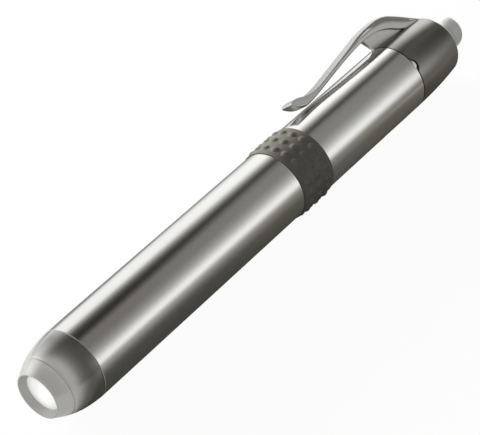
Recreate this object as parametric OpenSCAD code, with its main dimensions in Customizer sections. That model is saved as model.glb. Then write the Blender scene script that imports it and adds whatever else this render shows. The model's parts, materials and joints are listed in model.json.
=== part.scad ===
// Penlight with a polished metal body, a rubber grip ring and a pocket clip.
// Millimetres. The pen lies along X with its mouth at -X, on two of its ring's bumps.
// Stations named at_... are distances from the mouth's rim along the pen.

/* [Body] */
// Wall of both barrels
wall = 1.9; // [1.8:0.1:3]
// Length of the nose, from the rim to its seam
nose_len = 9.4; // [8.5:0.1:14]
// Length of the rear barrel that shows
rear_len = 32.4; // [29:0.1:34]
// Length of the tail cap
cap_len = 14.7; // [13:0.1:20]
// Small bevel at each metal edge that shows
edge = 0.15; // [0.05:0.05:0.25]
// Angle at which the clip leans away from upright when the pen lies on a table
clip_lean = 45; // [0:1:90]

/* [Nose] */
// Diameter of the nose at its rim
rim_d = 9.4; // [9:0.1:11]
// Width of the flat rim round the mouth
rim_t = 0.2; // [0.1:0.05:0.5]
// How much narrower the mouth gets from rim to lens
mouth_slope = 0.8; // [0.3:0.05:1.5]
// Depth of the lens behind the rim
lens_depth = 1.4; // [1.2:0.1:3]
// Thickness of the lens
lens_t = 1.2; // [0.8:0.1:1.6]
// Distance of the fine groove from the rim
groove_at = 3; // [2.5:0.1:6]
// Length of the nose's threaded spigot
spigot_len = 5; // [4:0.1:6]
// Depth of that spigot under the barrel's outside
spigot_depth = 1.15; // [1:0.05:1.3]

/* [Lamp] */
// Depth of the reflector bowl
bowl_len = 5.6; // [5:0.1:7]
// Diameter of the lamp's dome
led_d = 5; // [3:0.1:5]
// Height of the lamp over its board
led_h = 4.8; // [3.5:0.1:5]
// Thickness of the lamp's board
board_t = 1.2; // [0.8:0.1:1.6]
// Diameter of the bore for the front contact and its spring
contact_bore_d = 4.2; // [4:0.1:5]
// Room between the lamp's holder and the front cell
contact_room = 2.5; // [1.5:0.1:4]

/* [Cells] */
// Diameter of an AAA cell
cell_d = 10.5; // [10:0.1:10.5]
// Length of an AAA cell over its contact nub
cell_len = 44.5; // [43.5:0.1:44.5]
// Gap round the cells
cell_gap = 0.35; // [0.2:0.05:0.6]
// Diameter of the cell's contact nub
nub_d = 3.8; // [3:0.1:3.8]
// Height of the cell's contact nub
nub_h = 1; // [0.8:0.1:1.2]
// How far the rear cell ends before the cap's rim
cell_inset = 2.4; // [2:0.1:4]

/* [Screw joint] */
// Length of the joint's thread
thread_len = 6; // [4.5:0.5:7]
// Depth of that thread under the barrel's outside
thread_depth = 1.2; // [1:0.05:1.4]
// Thickness of the joint's seal
joint_seal_t = 0.56; // [0.4:0.02:0.6]

/* [Grip ring] */
// Width of the rubber ring
ring_w = 9.4; // [9:0.1:14]
// Depth of the ring's seat under the barrel's outside
seat_depth = 0.8; // [0.5:0.05:0.9]
// How far the rubber stands proud of the barrels
ring_proud = 0.2; // [0.05:0.05:0.5]
// Number of bumps round the ring
bumps_round = 20; // [12:2:22]
// Number of rows of bumps
bump_rows = 3; // [1:1:3]
// Distance between the rows
row_pitch = 2.8; // [2.2:0.1:3]
// Diameter of a bump where it leaves the ring
bump_d = 1.7; // [1:0.1:2]
// Height of a bump
bump_h = 0.36; // [0.2:0.02:0.6]

/* [Tail cap] */
// How much the cap's radius narrows to its rear edge
cap_taper = 0.9; // [0.5:0.1:1]
// Radius of the cap's rear edge
cap_round = 1; // [0.6:0.1:1.2]
// Length of the rear barrel's spigot inside the cap
cap_spigot_len = 4.6; // [4:0.1:4.7]
// Depth of that spigot under the barrel's outside
cap_spigot_depth = 0.95; // [0.8:0.05:1.1]
// Thickness of the cap's rear wall
cap_wall = 2.8; // [2.4:0.1:3]
// Wall of the cap round the switch
switch_wall = 1.5; // [1.3:0.1:1.6]
// Width of the notch in the cap's rim
notch_w = 3; // [2:0.1:3.6]
// Depth of the notch
notch_depth = 1; // [0.6:0.1:1.4]
// Angle of the notch from the clip
notch_angle = 83; // [40:1:140]

/* [Button] */
// Diameter of the button
button_d = 7.3; // [6:0.1:7.6]
// How far the button stands out of the cap
button_out = 7.4; // [5:0.1:9]
// How far the button's fine groove lies behind the cap
button_groove_out = 3; // [2:0.1:4]
// Height of the button's dome
dome_h = 2.6; // [1.5:0.1:3.2]
// Travel of the button
stroke = 1.5; // [0.8:0.1:1.6]
// Width of the lip that keeps the button in the cap
lip_w = 1.4; // [0.8:0.1:1.5]
// Width of the bright collar round the button
collar_w = 0.87; // [0.6:0.05:1]
// Diameter of the switch's rod
rod_d = 3; // [2:0.1:3.2]

/* [Clip] */
// Width of the clip
clip_w = 3.9; // [3:0.1:5]
// Thickness of the clip's strip
clip_t = 0.85; // [0.6:0.05:1.1]
// Extra thickness of the pad near the strip's tip
pad_t = 0.8; // [0:0.05:0.9]
// Length of the clip ahead of the cap's rim
clip_reach = 27.5; // [24:0.1:34]
// Height of the arch's top over the barrel
arch_h = 4.8; // [4:0.05:7]
// Least gap between strip and barrel
pinch = 0.5; // [0.3:0.05:1.5]
// How far the tip turns up
tip_rise = 1.3; // [0.8:0.1:2]
// Thickness of the fin under the arch
fin_t = 1.2; // [0.9:0.1:2.6]
// How far the fin's foot stands ahead of the cap's rim
fin_lead = 0.4; // [0.2:0.1:1]
// Thickness of the arch's rim where the strip starts
arch_t = 1.5; // [1.1:0.1:1.8]
// Thickness of the arch's rim at the cap's rear edge
root_t = 4.2; // [3:0.1:4.6]
// Distance of the strip's bend line ahead of the cap's rim
flex_ahead = 2.1; // [1.5:0.1:3]

/* [Hidden] */
$fn = 96;

// Radial gap of pieces that sit fixed in each other, and of pieces that slide
fit = 0.02;
run = 0.05;
// Gap between faces that part when the pen is unscrewed
face_gap = 0.04;

bore_r = cell_d / 2 + cell_gap;
barrel_r = bore_r + wall;
spigot_r = barrel_r - spigot_depth;
thread_r = barrel_r - thread_depth;
ring_seat_r = barrel_r - seat_depth;
cap_spigot_r = barrel_r - cap_spigot_depth;
switch_bore_r = barrel_r - switch_wall;
cap_end_r = barrel_r - cap_taper;
mouth_r = rim_d / 2 - rim_t;
window_r = mouth_r - mouth_slope;

// The cells, the room ahead of them and the nose's spigot set where the cap starts
holder_flange_t = 2.2;
at_seam = nose_len;
at_spigot_end = at_seam + spigot_len;
at_holder_end = at_spigot_end + holder_flange_t;
at_cell_1 = at_holder_end + contact_room;
at_cell_2 = at_cell_1 + cell_len;
at_cells_end = at_cell_2 + cell_len;
at_cap = at_cells_end + cell_inset;
at_rear = at_cap - rear_len;
at_ring = at_rear - ring_w;
at_end = at_cap + cap_len;
total_len = at_end + button_out;

ring_r = barrel_r + ring_proud;
// A bump is the tip of a ball of this radius
bump_ball_r = (pow(bump_d / 2, 2) + bump_h * bump_h) / (2 * bump_h);
bump_centre_r = ring_r + bump_h - bump_ball_r;
// The pen lies between two neighbouring bumps, with its axis this high and this far to the side
axis_h = bump_centre_r * cos(180 / bumps_round) + bump_ball_r;
axis_y = (axis_h - (barrel_r + arch_h) * sin(clip_lean) - clip_w / 2 * cos(clip_lean)) / 2;

// Nose and lamp
seat_r = window_r + 1;
at_lens = lens_depth;
seal_t = 0.8;
at_bowl = at_lens + lens_t + seal_t;
at_board = at_bowl + bowl_len;
at_holder = at_board + board_t;
contact_bore_r = contact_bore_d / 2;

// Front contact: a headed pin pushed at the cell by its spring
pin_tip_len = 0.48 * contact_room;
pin_head_t = 0.8 * contact_room;
at_pin_head = at_cell_1 - pin_tip_len - pin_head_t;
at_contact_bore = at_holder + 1.4;

// Switch, worked out from the cap's rear wall forwards
at_wall = at_end - cap_wall;
flange_t = 1.1;
at_flange = at_wall - fit - flange_t;
at_housing_end = at_flange - stroke - 0.2;
at_base = at_cap + cell_inset;
base_t = 0.8;
at_housing = at_base + base_t;
housing_r = bore_r - 0.1;
at_spigot_2_end = at_cap + cap_spigot_len;
at_cap_seal = at_cap + 1.8;
cap_seal_room = 0.8;
shoulder_room = at_housing_end - at_spigot_2_end;
shoulder_len = 0.54 * shoulder_room;
retainer_t = 0.36 * shoulder_room;
chamber_r = 3.2;
disc_r = chamber_r - 0.3;
chamber_room = at_housing_end - at_housing - stroke - run;
stud_h = 0.16 * chamber_room;
disc_t = 0.14 * chamber_room;
roof_t = 0.28 * chamber_room;
at_disc = at_housing + stud_h + stroke + run;
button_r = button_d / 2;
button_bore_r = button_r + run;
button_cavity_len = 5.6;
button_cavity_r = button_r - 0.85;
rod_r = rod_d / 2;
collar_r = button_bore_r + collar_w;
collar_t = 0.8;
collar_lip = 0.1;

// Clip
clip_top_r = barrel_r + arch_h;
at_tip = at_cap - clip_reach;
at_flex = at_cap - flex_ahead;
at_root_end = at_end - 0.6 * cap_round;

// The outer side of strip and arch from the tip to the cap's rear edge, as distance from the
// mouth and from the axis. The first and last points only steer the curve.
low_r = barrel_r + pinch + clip_t + pad_t / 2;
strip_rise = clip_top_r - low_r;
root_fall = clip_top_r - cap_end_r;
outer_points = [
    [at_tip - 0.044 * clip_reach, low_r + 1.3 * tip_rise],
    [at_tip, low_r + 1.05 * tip_rise],
    [at_tip + 0.047 * clip_reach, low_r + 0.86 * tip_rise],
    [at_tip + 0.109 * clip_reach, low_r + 0.52 * tip_rise],
    [at_tip + 0.182 * clip_reach, low_r + 0.1 * tip_rise],
    [at_tip + 0.255 * clip_reach, low_r + 0.02 * strip_rise],
    [at_tip + 0.385 * clip_reach, low_r + 0.16 * strip_rise],
    [at_tip + 0.61 * clip_reach, low_r + 0.47 * strip_rise],
    [at_tip + 0.76 * clip_reach, low_r + 0.69 * strip_rise],
    [at_tip + 0.925 * clip_reach, low_r + 0.92 * strip_rise],
    [at_cap + 0.12 * cap_len, clip_top_r],
    [at_cap + 0.32 * cap_len, clip_top_r - 0.026 * root_fall],
    [at_cap + 0.46 * cap_len, clip_top_r - 0.13 * root_fall],
    [at_cap + 0.6 * cap_len, clip_top_r - 0.35 * root_fall],
    [at_cap + 0.76 * cap_len, clip_top_r - 0.63 * root_fall],
    [at_cap + 0.95 * cap_len, clip_top_r - root_fall],
    [at_cap + 1.1 * cap_len, clip_top_r - 1.3 * root_fall]];

// Points on a smooth curve through a list, with steps between each pair
function between(a, b, c, d, t) = 0.5 * (2 * b + (c - a) * t
    + (2 * a - 5 * b + 4 * c - d) * t * t + (3 * b - a - 3 * c + d) * t * t * t);
function smooth(p, steps) = [for (i = [1 : len(p) - 3]) for (k = [0 : steps - 1])
    between(p[i - 1], p[i], p[i + 1], p[i + 2], k / steps)];
// Point i of a curve moved square to it by t, towards the axis
function moved(p, i, t) =
    let (a = p[max(i - 1, 0)], b = p[min(i + 1, len(p) - 1)], d = (b - a) / norm(b - a))
    p[i] + t * [d[1], -d[0]];
function reversed(p) = [for (i = [len(p) - 1 : -1 : 0]) p[i]];
clip_curve = smooth(outer_points, 6);

// Radius of the nose at a distance from its rim, rounded like half an egg
function nose_r(u) = rim_d / 2 + (barrel_r - rim_d / 2)
    * pow(max(0, 1 - pow(1 - u / nose_len, 2.28)), 1.16);
// Radius of the cap, which swells gently in from its rim and rounds off at its rear edge
function cap_r(u) = let (k = (u - at_cap) / cap_len)
    cap_end_r + cap_taper * (1 - pow(k, 2.2));
// Radius of the button's dome
function dome_r(u) = let (k = (u - (total_len - dome_h)) / dome_h)
    button_r * pow(max(0, 1 - pow(k, 2.6)), 1 / 2.6);

// A wire along a helix whose radius goes from r0 to r1, with flat-ended tube rings
function coil_centre(r0, r1, u0, u1, turns, t) =
    [u0 + (u1 - u0) * t, (r0 + (r1 - r0) * t) * cos(360 * turns * t),
        (r0 + (r1 - r0) * t) * sin(360 * turns * t)];
// The least gap between neighbouring turns
function coil_gap(u0, u1, turns, wire_d) = (u1 - u0) / turns - wire_d;

module coil(r0, r1, u0, u1, turns, wire_d) {
    sides = 6;
    rings = 8 * turns;
    a = u0 + wire_d / 2;
    b = u1 - wire_d / 2;
    points = [for (i = [0 : rings]) let (t = i / rings, c = coil_centre(r0, r1, a, b, turns, t),
        turn = 360 * turns * t) for (k = [0 : sides - 1]) let (q = 360 * k / sides)
        c + wire_d / 2 * [cos(q), sin(q) * cos(turn), sin(q) * sin(turn)]];
    walls = [for (i = [0 : rings - 1]) for (k = [0 : sides - 1]) let (m = (k + 1) % sides)
        each [[i * sides + k, (i + 1) * sides + m, i * sides + m],
            [i * sides + k, (i + 1) * sides + k, (i + 1) * sides + m]]];
    first = [for (k = [1 : sides - 2]) [0, k, k + 1]];
    last_ring = rings * sides;
    last = [for (k = [1 : sides - 2]) [last_ring, last_ring + k + 1, last_ring + k]];
    echo(str("least gap between turns: ", coil_gap(a, b, turns, wire_d)));
    polyhedron(points, concat(walls, first, last), convexity = 10);
}

// The pen's own place: X runs from the mouth's rim along the pen, the clip's side is up
module pen() {
    translate([-total_len / 2, axis_y, axis_h]) rotate([-clip_lean, 0, 0]) children();
}

// A shape turned round the pen's axis from points [radius, distance from the rim]
module lathe(points) {
    rotate([0, 90, 0]) rotate_extrude() polygon(points);
}

module tube(r_out, r_in, u0, u1) {
    lathe([[r_in, u0], [r_out, u0], [r_out, u1], [r_in, u1]]);
}

module rod(r, u0, u1) {
    translate([u0, 0, 0]) rotate([0, 90, 0]) cylinder(r = r, h = u1 - u0);
}

module ring_seal(r, section_d, u) {
    translate([u, 0, 0]) rotate([0, 90, 0]) rotate_extrude() translate([r, 0])
        circle(d = section_d, $fn = 32);
}

module nose() {
    steps = 14;
    outer = [for (i = [0 : steps]) let (u = edge + (nose_len - 2 * edge) * i / steps)
        [nose_r(u), u]];
    color([0.72, 0.72, 0.7]) pen() difference() {
        lathe(concat([[mouth_r, 0], [rim_d / 2, 0]], outer,
            [[barrel_r - edge, at_seam], [spigot_r, at_seam], [spigot_r, at_spigot_end],
                [seat_r, at_spigot_end], [seat_r, at_lens], [window_r, at_lens]]));
        ring_seal(nose_r(groove_at) + 0.08, 0.3, groove_at);
    }
}

module lens() {
    lens_r = seat_r - fit;
    dome = 0.35;
    color([0.93, 0.96, 1, 0.6]) pen() lathe([[0, at_lens - dome],
        [window_r * 0.4, at_lens - dome * 0.85], [window_r * 0.8, at_lens - dome * 0.35],
        [window_r - fit, at_lens], [lens_r, at_lens], [lens_r, at_lens + lens_t],
        [0, at_lens + lens_t]]);
}

module lens_seal() {
    color([0.08, 0.08, 0.08]) pen()
        ring_seal(seat_r - fit - seal_t / 2, seal_t, at_lens + lens_t + seal_t / 2);
}

module reflector() {
    steps = 8;
    neck_r = led_d / 2 + 0.25;
    bowl_r = seat_r - 0.5;
    bowl = [for (i = [0 : steps]) let (t = i / steps)
        [neck_r + (bowl_r - neck_r) * pow(t, 0.5), at_board - 0.6 - (bowl_len - 0.6) * t]];
    color([0.85, 0.85, 0.87]) pen() lathe(concat([[neck_r, at_board]], bowl,
        [[seat_r - fit, at_bowl], [seat_r - fit, at_board]]));
}

module led() {
    led_r = led_d / 2;
    at_top = at_board - led_h;
    arc = [for (i = [0 : 6]) let (a = 90 * i / 6) [led_r * sin(a), at_top + led_r * (1 - cos(a))]];
    color([1, 1, 0.92]) pen() lathe(concat(arc, [[led_r, at_board], [0, at_board]]));
}

module led_board() {
    color([0.1, 0.35, 0.2]) pen() rod(seat_r - fit, at_board, at_holder);
}

module led_holder() {
    color([0.78, 0.66, 0.4]) pen() difference() {
        union() {
            rod(seat_r - fit, at_holder, at_spigot_end);
            rod(bore_r - 0.1, at_spigot_end, at_holder_end);
        }
        rod(contact_bore_r, at_contact_bore, at_holder_end + 1);
    }
}

module front_spring() {
    color([0.8, 0.8, 0.8]) pen()
        coil(contact_bore_r - 0.45, contact_bore_r - 0.45, at_contact_bore, at_pin_head, 3, 0.4);
}

module front_contact() {
    color([0.85, 0.7, 0.35]) pen() {
        rod(contact_bore_r - run, at_pin_head, at_pin_head + pin_head_t);
        rod(nub_d * 0.32, at_pin_head + pin_head_t, at_cell_1);
    }
}

module front_barrel() {
    at_thread = at_ring - thread_len - 0.2;
    at_seal = at_ring - 2 * joint_seal_t;
    thread_bore_r = thread_r + run;
    seal_bore_r = thread_bore_r + joint_seal_t + fit;
    color([0.75, 0.75, 0.73]) pen() lathe([
        [spigot_r + fit, at_seam], [barrel_r - edge, at_seam], [barrel_r, at_seam + edge],
        [barrel_r, at_ring - face_gap - edge], [barrel_r - edge, at_ring - face_gap],
        [seal_bore_r, at_ring - face_gap], [seal_bore_r, at_seal], [thread_bore_r, at_seal],
        [thread_bore_r, at_thread], [bore_r, at_thread], [bore_r, at_spigot_end],
        [spigot_r + fit, at_spigot_end]]);
}

module joint_seal() {
    color([0.08, 0.08, 0.08]) pen()
        ring_seal(thread_r + run + joint_seal_t / 2, joint_seal_t, at_ring - 1.1 * joint_seal_t);
}

module rear_barrel() {
    thread_start = at_ring - thread_len;
    chamfer = 0.3;
    groove_r = cap_spigot_r - 0.35;
    at_groove = at_cap_seal - cap_seal_room / 2;
    at_groove_end = at_cap_seal + cap_seal_room / 2;
    color([0.75, 0.75, 0.73]) pen() lathe([
        [bore_r, thread_start], [thread_r - chamfer, thread_start],
        [thread_r, thread_start + chamfer], [thread_r, at_ring], [ring_seat_r, at_ring],
        [ring_seat_r, at_rear], [barrel_r - edge, at_rear], [barrel_r, at_rear + edge],
        [barrel_r, at_cap - edge], [barrel_r - edge, at_cap], [cap_spigot_r, at_cap],
        [cap_spigot_r, at_groove], [groove_r, at_groove], [groove_r, at_groove_end],
        [cap_spigot_r, at_groove_end], [cap_spigot_r, at_spigot_2_end],
        [bore_r, at_spigot_2_end]]);
}

module grip_ring() {
    hole_r = ring_seat_r + fit;
    skin_r = hole_r + 0.3;
    lowest = 180 + clip_lean;
    color([0.12, 0.12, 0.11]) pen() {
        difference() {
            union() {
                lathe([[skin_r, at_ring], [ring_r - edge, at_ring], [ring_r, at_ring + edge],
                    [ring_r, at_rear - edge], [ring_r - edge, at_rear], [skin_r, at_rear]]);
                for (row = [0 : bump_rows - 1], i = [0 : bumps_round - 1])
                    rotate([lowest + 360 * (i + 0.5) / bumps_round, 0, 0])
                        translate([at_ring + ring_w / 2 + (row - (bump_rows - 1) / 2) * row_pitch, 0,
                            bump_centre_r])
                            sphere(r = bump_ball_r, $fn = 32);
            }
            rod(skin_r, at_ring - 1, at_rear + 1);
        }
        tube(skin_r, hole_r, at_ring, at_rear);
    }
}

module cell(u) {
    pole_r = nub_d / 2;
    cell_r = cell_d / 2;
    pen() lathe([[0, u], [pole_r, u], [pole_r, u + nub_h], [cell_r - 0.4, u + nub_h],
        [cell_r, u + nub_h + 0.4], [cell_r, u + cell_len - 0.4], [cell_r - 0.4, u + cell_len],
        [0, u + cell_len]]);
}

module battery_front() {
    color([0.2, 0.3, 0.45]) cell(at_cell_1);
}

module battery_rear() {
    color([0.25, 0.35, 0.5]) cell(at_cell_2);
}

// The notch is part of a round cut whose centre lies ahead of the cap's rim
notch_r = (pow(notch_w / 2, 2) + notch_depth * notch_depth) / (2 * notch_depth);

module notch_round(r, u0, h) {
    rotate([notch_angle, 0, 0]) translate([at_cap + notch_depth - notch_r, 0, h])
        cylinder(r = r, h = barrel_r);
}

module locating_key() {
    color([0.88, 0.88, 0.85]) pen() intersection() {
        notch_round(notch_r - 0.15, at_cap, barrel_r / 2);
        tube(barrel_r - 0.15, cap_spigot_r + fit, at_cap, at_cap + notch_depth);
    }
}

module cap_seal() {
    color([0.08, 0.08, 0.08]) pen() ring_seal(cap_spigot_r - 0.17, 0.32, at_cap_seal);
}

// The cap's outside, grown by a gap
module cap_outside(gap) {
    steps = 14;
    straight = cap_len - cap_round;
    side = [for (i = [0 : steps]) let (u = at_cap + edge + (straight - edge) * i / steps)
        [cap_r(u) + gap, u]];
    corner = [for (i = [1 : 6]) let (a = 90 * i / 6)
        [cap_r(at_cap + straight) - cap_round + (cap_round + gap) * cos(a),
            at_cap + straight + (cap_round + gap) * sin(a)]];
    lathe(concat([[0, at_cap], [barrel_r - edge + gap, at_cap]], side, corner,
        [[0, at_end + gap]]));
}

// The clip's tenon, which fills its slot through the cap's wall over the barrel's spigot
module tenon(gap, bottom_r) {
    u0 = at_cap + 1.2;
    translate([u0 - gap, -fin_t / 2 - gap, bottom_r])
        cube([at_spigot_2_end - u0 + 2 * gap, fin_t + 2 * gap, barrel_r + 1 - bottom_r]);
}

module tail_cap() {
    color([0.3, 0.3, 0.29]) pen() difference() {
        cap_outside(0);
        rod(cap_spigot_r + fit, at_cap - 1, at_spigot_2_end + 0.2);
        rod(switch_bore_r, at_cap, at_wall);
        rod(button_bore_r, at_cap, at_end + 1);
        rod(collar_r + fit, at_end - collar_t, at_end + 1);
        notch_round(notch_r, at_cap, barrel_r / 2);
        tenon(fit, cap_spigot_r - 1);
    }
}

// Thickness of strip and arch along the pen: a thinned tip, a pad, and a deep root on the cap
at_pad = at_tip + 0.087 * clip_reach;
pad_spread = 0.095 * clip_reach;
tip_taper = 0.6;
at_strip_middle = at_tip + clip_reach / 2;
function clip_depth(u) = (1 - tip_taper * exp(-pow((u - at_tip) / 0.8, 2)))
    * (clip_t + pad_t * exp(-pow((u - at_pad) / pad_spread, 2))
    + (arch_t - clip_t) * min(1, max(0, (u - at_strip_middle) / (at_flex - at_strip_middle)))
    + (root_t - arch_t) * max(0, (u - at_flex) / (at_end - at_flex)));
under_curve = [for (i = [0 : len(clip_curve) - 1])
    moved(clip_curve, i, clip_depth(clip_curve[i][0]))];

module clip_side() {
    polygon(concat(clip_curve, reversed(under_curve)));
}

module clip_plan() {
    tip_r = clip_w * 0.42;
    hull() {
        for (side = [-1, 1])
            translate([clip_curve[0][0] - 0.5 + tip_r, side * (clip_w / 2 - tip_r)]) circle(tip_r);
        translate([at_end, 0]) square([1, clip_w], center = true);
    }
}

module clip_flange() {
    intersection() {
        rotate([90, 0, 0]) linear_extrude(clip_w, center = true) clip_side();
        translate([0, 0, barrel_r / 2]) linear_extrude(clip_top_r) clip_plan();
    }
}

// The part of the clip between two stations
module clip_span(u0, u1) {
    intersection() {
        children();
        translate([u0, -clip_w, 0]) cube([u1 - u0, 2 * clip_w, 2 * clip_top_r]);
    }
}

// The fin between arch and cap, which leaves the thread end of the barrel free
module fin() {
    low = barrel_r / 2;
    rotate([90, 0, 0]) linear_extrude(fin_t, center = true) intersection() {
        polygon(concat(clip_curve, [[at_end, low], [at_flex, low]]));
        polygon([[at_cap - fin_lead, low], [at_cap - fin_lead, barrel_r + fit],
            [at_flex + run, clip_top_r - arch_t], [at_flex + run, clip_top_r],
            [at_end, clip_top_r], [at_end, low]]);
    }
}

module clip_arch() {
    color([0.55, 0.55, 0.53]) pen() {
        difference() {
            union() {
                clip_span(at_flex, at_root_end) clip_flange();
                clip_span(at_flex, at_root_end) fin();
            }
            cap_outside(fit);
            rod(barrel_r + fit, at_flex - 1, at_cap + edge);
        }
        intersection() {
            tenon(0, cap_spigot_r + 2 * fit);
            cap_outside(fit + 0.01);
        }
    }
}

module clip_strip() {
    color([0.6, 0.6, 0.58]) pen() clip_span(at_tip - clip_w, at_flex - run) clip_flange();
}

module battery_spring() {
    color([0.8, 0.8, 0.8]) pen()
        coil(nub_d / 2 + 0.4, housing_r - 1.4, at_cells_end, at_base, 4, 0.6);
}

module switch_base() {
    color([0.85, 0.7, 0.35]) pen() {
        rod(housing_r, at_base, at_housing);
        rod(rod_r * 0.8, at_housing, at_housing + stud_h);
    }
}

module switch_housing() {
    color([0.15, 0.15, 0.16]) pen() difference() {
        union() {
            rod(housing_r, at_housing, at_housing_end);
            rod(switch_bore_r - fit, at_housing_end - shoulder_len, at_housing_end);
        }
        rod(chamber_r, at_housing, at_housing_end - roof_t);
        rod(rod_r + run, at_housing, at_housing_end + 1);
    }
}

module switch_retainer() {
    color([0.7, 0.7, 0.7]) pen() tube(switch_bore_r - fit, housing_r + fit,
        at_housing_end - shoulder_len - retainer_t, at_housing_end - shoulder_len);
}

module switch_plunger() {
    color([0.85, 0.85, 0.82]) pen()
        rod(rod_r, at_disc + disc_t, at_flange + button_cavity_len + 1);
}

module contact_disc() {
    color([0.85, 0.7, 0.35]) pen() rod(disc_r, at_disc, at_disc + disc_t);
}

module switch_spring() {
    color([0.8, 0.8, 0.8]) pen() coil(button_cavity_r - 0.35, button_cavity_r - 0.35,
        at_housing_end, at_flange + button_cavity_len, 5, 0.4);
}

module push_button() {
    steps = 10;
    at_groove = at_end + button_groove_out;
    groove = 0.22;
    at_cavity_end = at_flange + button_cavity_len;
    dome = [for (i = [0 : steps]) let (u = total_len - dome_h + dome_h * i / steps) [dome_r(u), u]];
    color([0.8, 0.8, 0.78]) pen() difference() {
        lathe(concat([[button_cavity_r, at_flange], [button_r + lip_w, at_flange],
            [button_r + lip_w, at_flange + flange_t], [button_r, at_flange + flange_t],
            [button_r, at_groove - groove], [button_r - groove, at_groove],
            [button_r, at_groove + groove]], dome,
            [[0, at_cavity_end], [button_cavity_r, at_cavity_end]]));
        rod(rod_r + fit, at_cavity_end - 1, at_cavity_end + 1);
    }
}

module button_collar() {
    color([0.9, 0.9, 0.88]) pen()
        tube(collar_r, button_bore_r, at_end - collar_t, at_end + collar_lip);
}

nose();
lens();
lens_seal();
reflector();
led();
led_board();
led_holder();
front_contact();
front_spring();
front_barrel();
joint_seal();
rear_barrel();
grip_ring();
battery_front();
battery_rear();
locating_key();
cap_seal();
tail_cap();
clip_arch();
clip_strip();
battery_spring();
switch_base();
switch_housing();
switch_retainer();
switch_spring();
switch_plunger();
contact_disc();
push_button();
button_collar();
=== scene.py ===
# Penlight with polished barrels, a rubber grip ring, a dark cap with a pocket clip and a frosted
# button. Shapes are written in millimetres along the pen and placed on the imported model.
import json
import math

import bmesh
import bpy
import numpy as np
from mathutils import Matrix, Vector


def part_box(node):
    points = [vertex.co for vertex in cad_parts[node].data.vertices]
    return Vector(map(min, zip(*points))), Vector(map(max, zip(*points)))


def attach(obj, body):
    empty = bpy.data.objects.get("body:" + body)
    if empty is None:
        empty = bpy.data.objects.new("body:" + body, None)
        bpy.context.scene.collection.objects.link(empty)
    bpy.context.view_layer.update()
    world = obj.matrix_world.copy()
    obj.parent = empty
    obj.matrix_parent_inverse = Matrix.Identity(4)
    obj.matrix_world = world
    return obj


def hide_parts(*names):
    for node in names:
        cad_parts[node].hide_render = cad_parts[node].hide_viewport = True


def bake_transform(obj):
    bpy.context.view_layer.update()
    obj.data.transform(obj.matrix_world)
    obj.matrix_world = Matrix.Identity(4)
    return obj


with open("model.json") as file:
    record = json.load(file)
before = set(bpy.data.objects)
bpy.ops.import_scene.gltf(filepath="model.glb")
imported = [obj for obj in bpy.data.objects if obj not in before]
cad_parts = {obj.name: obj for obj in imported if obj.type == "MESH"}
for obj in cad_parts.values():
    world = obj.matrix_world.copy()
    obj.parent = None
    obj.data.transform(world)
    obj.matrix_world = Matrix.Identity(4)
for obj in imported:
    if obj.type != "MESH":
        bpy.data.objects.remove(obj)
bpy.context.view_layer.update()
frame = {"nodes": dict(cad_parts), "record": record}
print("packed model loaded")

# The pen's own place: u runs from the mouth's rim to the button, angle 0 is the clip's side.
millimetre = 0.001
penLean = math.radians(45)
barrelLow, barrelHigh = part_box("front_barrel")
mouthPoint = np.array((
    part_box("nose")[0].x, (barrelLow.y + barrelHigh.y) / 2, (barrelLow.z + barrelHigh.z) / 2))
penTurn = np.array((
    (1, 0, 0),
    (0, math.cos(penLean), math.sin(penLean)),
    (0, -math.sin(penLean), math.cos(penLean))))
fullTurn = 2 * math.pi
quarterTurn = math.pi / 2
slack = 0.01  # how near a point lies to the surface that it belongs to
sharpFrom = {"piece": 32, "kept": 35}  # edges over this many degrees stay sharp


def toWorld(points):
    return np.asarray(points, float) @ penTurn.T * millimetre + mouthPoint


def onPen(u, radius, angle):  # a point of a turned surface; the camera's side has positive angles
    return np.stack(np.broadcast_arrays(u, -radius * np.sin(angle), radius * np.cos(angle)), -1)


# Shapes
def gridFaces(rows, columns, closeRows, start=0):
    index = start + np.arange(rows * columns).reshape(rows, columns)
    if closeRows:
        index = np.vstack((index, index[:1]))
    index = np.hstack((index, index[:, :1]))
    quads = np.stack((index[:-1, :-1], index[:-1, 1:], index[1:, 1:], index[1:, :-1]), -1)
    return quads.reshape(-1, 4).tolist()


def runFaces(rows, columns, start=0):  # a run of loops with one flat face at each end
    end = start + rows * columns
    return gridFaces(rows, columns, False, start) + [
        tuple(range(start, start + columns)), tuple(range(end - columns, end))]


def rounded(corners, steps=6, hold=0.05):  # corners (u, r) or (u, r, rounding) of a turned outline
    outline = []
    count = len(corners)
    for place, corner in enumerate(corners):
        here = np.array(corner[:2], float)
        if len(corner) == 2 or corner[2] == 0:
            outline.append(tuple(here))
            continue
        reach = corner[2]
        ends = []
        for other in (corners[place - 1], corners[(place + 1) % count]):
            way = np.array(other[:2], float) - here
            ends.append(way / np.linalg.norm(way))
        before, after = ends
        outline.append(tuple(here + before * (reach + hold)))
        for t in np.linspace(0, 1, steps + 1):
            first, last = here + before * reach, here + after * reach
            point = (1 - t) ** 2 * first + 2 * t * (1 - t) * here + t ** 2 * last
            outline.append(tuple(point))
        outline.append(tuple(here + after * (reach + hold)))
    return outline


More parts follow.
